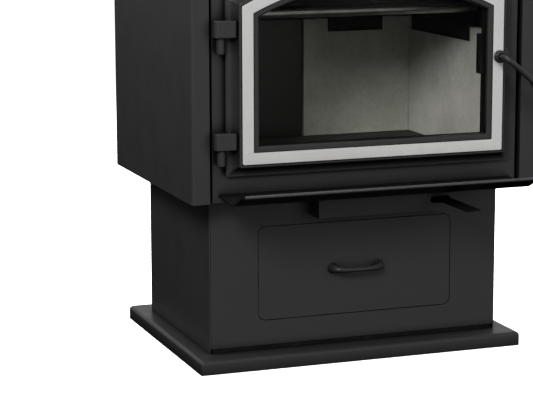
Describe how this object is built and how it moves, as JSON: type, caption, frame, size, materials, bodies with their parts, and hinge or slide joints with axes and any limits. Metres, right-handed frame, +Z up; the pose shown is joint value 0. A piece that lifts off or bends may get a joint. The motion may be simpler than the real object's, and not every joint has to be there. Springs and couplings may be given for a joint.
{
  "type": "wood burning stove",
  "caption": "Pedestal wood burning stove: steel firebox in a convection casing, arched glass door with a bright trim, turning latch handle, ash lip, air lever and ash drawer.",
  "frame": {"origin": "centre of the base plate's underside, on the floor", "axes": "+Z up; the door and drawer face -Y; +X is to the right for a person facing the door"},
  "size_m": [0.805, 0.7104, 0.932],
  "materials": {
    "charcoal_paint": "satin heat-proof paint, near black",
    "cast_iron": "painted casting, fine sand texture",
    "dark_steel": "dark mill scale, matte",
    "nickel_trim": "brushed nickel plate",
    "bare_steel": "bright steel",
    "refractory": "cast refractory, matte, faint mottling",
    "rope_seal": "knitted glass-fibre rope",
    "ceramic_glass": "clear ceramic glass",
    "black_grip": "turned black grip, satin"
  },
  "bodies": {
    "root": {"base_plate": "charcoal_paint", "base_stiffener": "dark_steel", "pedestal_wrap": "charcoal_paint", "pedestal_front": "charcoal_paint", "pedestal_top": "dark_steel", "drawer_rail_left": "bare_steel", "drawer_rail_right": "bare_steel", "casing_side_left": "charcoal_paint", "casing_side_right": "charcoal_paint", "casing_back": "charcoal_paint", "casing_floor": "dark_steel", "top_plate": "charcoal_paint", "front_plate": "charcoal_paint", "firebox_side_left": "dark_steel", "firebox_side_right": "dark_steel", "firebox_support_left": "dark_steel", "firebox_support_right": "dark_steel", "firebox_back": "dark_steel", "firebox_floor": "dark_steel", "firebox_roof": "dark_steel", "flue_collar": "cast_iron", "brick_floor": "refractory", "brick_side_left": "refractory", "brick_side_right": "refractory", "brick_rail_left": "dark_steel", "brick_rail_right": "dark_steel", "brick_back": "refractory", "cast_back_plate": "cast_iron", "brick_rail_back": "dark_steel", "air_tube_front": "bare_steel", "air_tube_middle": "bare_steel", "air_tube_rear": "bare_steel", "baffle_board": "refractory", "air_wash_header": "dark_steel", "ash_chute": "dark_steel", "hinge_post_upper": "cast_iron", "hinge_post_lower": "cast_iron", "ash_lip": "charcoal_paint", "air_box": "charcoal_paint", "air_channel": "dark_steel"},
    "door": {"door_frame": "cast_iron", "door_trim": "nickel_trim", "door_glass": "ceramic_glass", "glass_gasket": "rope_seal", "glass_retainer": "dark_steel", "door_gasket": "rope_seal", "hinge_block_upper": "cast_iron", "hinge_block_lower": "cast_iron", "latch_housing": "dark_steel"},
    "handle": {"handle_rod": "cast_iron", "handle_collar": "cast_iron", "handle_grip": "black_grip", "latch_cam": "bare_steel"},
    "drawer": {"drawer_front": "charcoal_paint", "drawer_box": "dark_steel", "drawer_pull": "cast_iron"},
    "air_control": {"air_lever": "charcoal_paint", "air_shutter": "bare_steel"},
    "ash_plug": {"ash_plug": "cast_iron"}
  },
  "joints": [
    {"name": "door_hinge", "type": "hinge", "parent": "root", "child": "door", "pos_m": [-0.3215, -0.292, 0.58], "axis": [0, 0, -1], "range_deg": [0, 110]},
    {"name": "latch_turn", "type": "hinge", "parent": "door", "child": "handle", "pos_m": [0.275, -0.3, 0.625], "axis": [0, -1, 0], "range_deg": [-28, 62]},
    {"name": "drawer_slide", "type": "slide", "parent": "root", "child": "drawer", "axis": [0, -1, 0], "range_m": [0, 0.32]},
    {"name": "air_slide", "type": "slide", "parent": "root", "child": "air_control", "axis": [0, 1, 0], "range_m": [0, 0.06]},
    {"name": "ash_plug_lift", "type": "slide", "parent": "root", "child": "ash_plug", "axis": [0, 0, 1], "range_m": [0, 0.06]}
  ]
}
